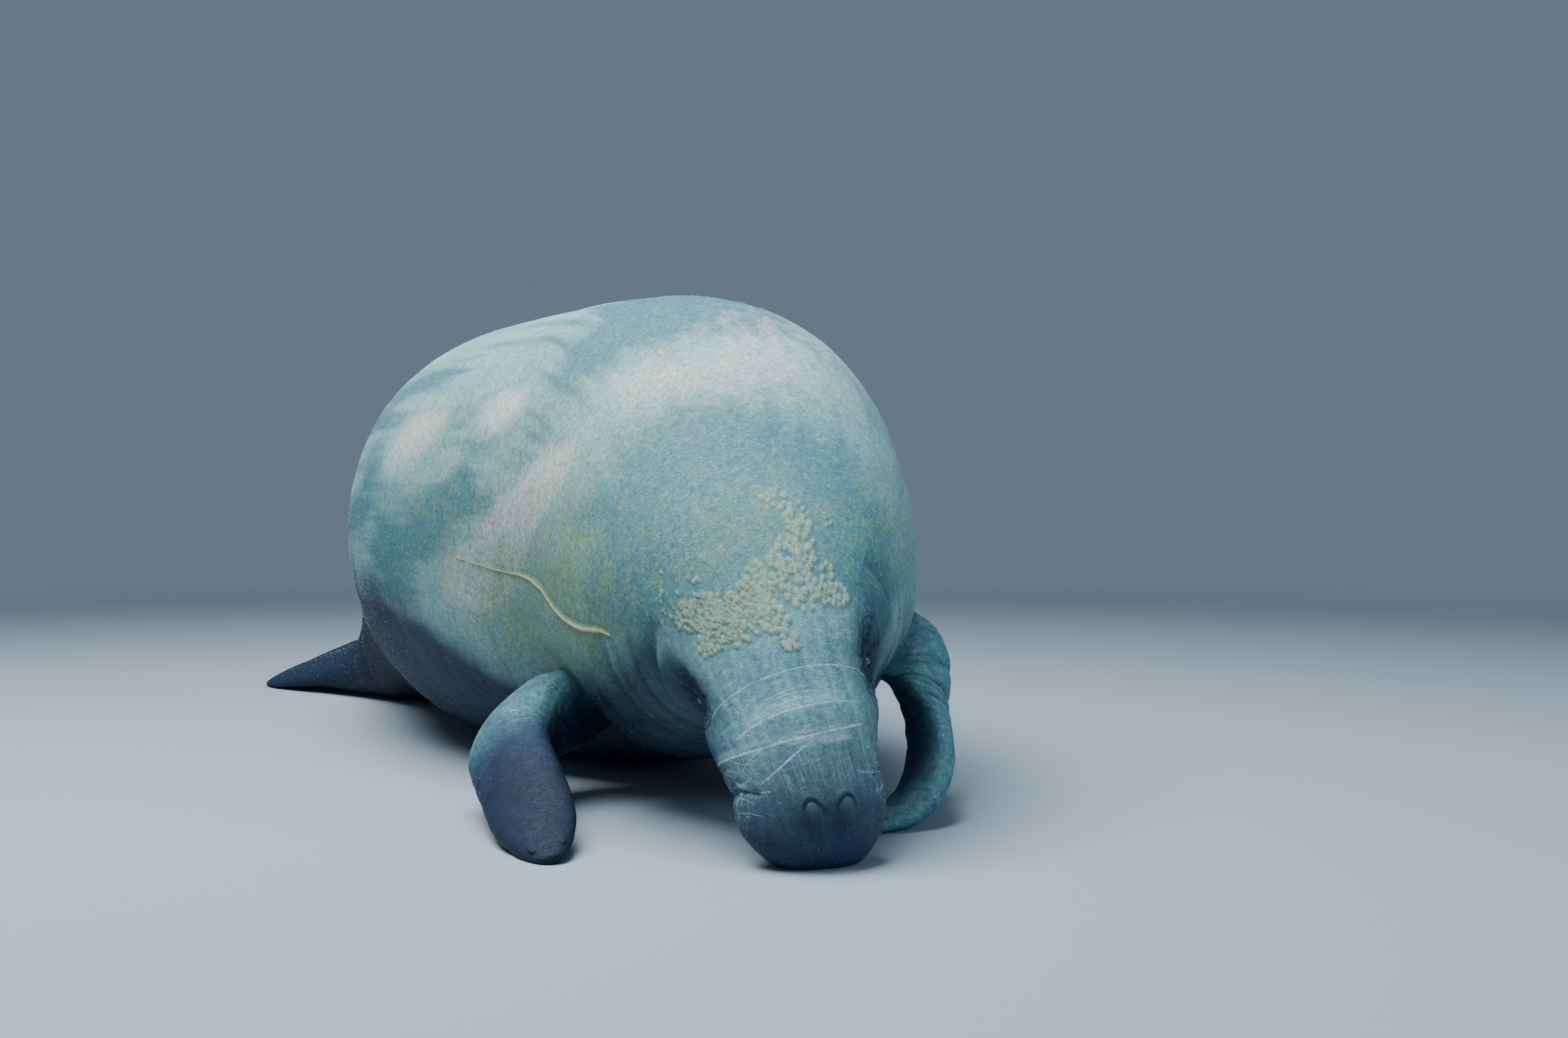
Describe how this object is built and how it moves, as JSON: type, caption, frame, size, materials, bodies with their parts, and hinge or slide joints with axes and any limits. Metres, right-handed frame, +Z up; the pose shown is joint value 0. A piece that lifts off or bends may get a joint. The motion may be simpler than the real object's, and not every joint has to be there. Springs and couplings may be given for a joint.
{
  "type": "manatee",
  "caption": "Life-size adult manatee resting on the bottom, head bent down, lips and both flippers on the ground, round paddle tail laid out behind.",
  "frame": {"origin": "on the ground, in the middle of the box round the whole animal", "axes": "+Y runs along the body from the head to the tail, +X is the animal's left, +Z is up"},
  "size_m": [0.8768, 2.8024, 0.812],
  "materials": {
    "back_skin": "wet grey-green hide with pale sunlit blotches, dark streaks and specks of algae",
    "face_skin": "wet slate-grey wrinkled hide with pale scratches and short bristles",
    "flipper_skin": "dark slate-blue wrinkled hide",
    "eye": "wet black eyeball"
  },
  "bodies": {
    "root": {"muzzle": "face_skin", "lower_jaw": "face_skin", "head": "face_skin", "neck": "back_skin", "torso_front": "back_skin", "torso_middle": "back_skin", "torso_rear": "back_skin", "tail_stock": "back_skin", "tail_paddle": "flipper_skin", "arm_left": "flipper_skin", "arm_right": "flipper_skin", "flipper_left": "flipper_skin", "flipper_right": "flipper_skin", "eye_left": "eye", "eye_right": "eye"}
  },
  "joints": []
}
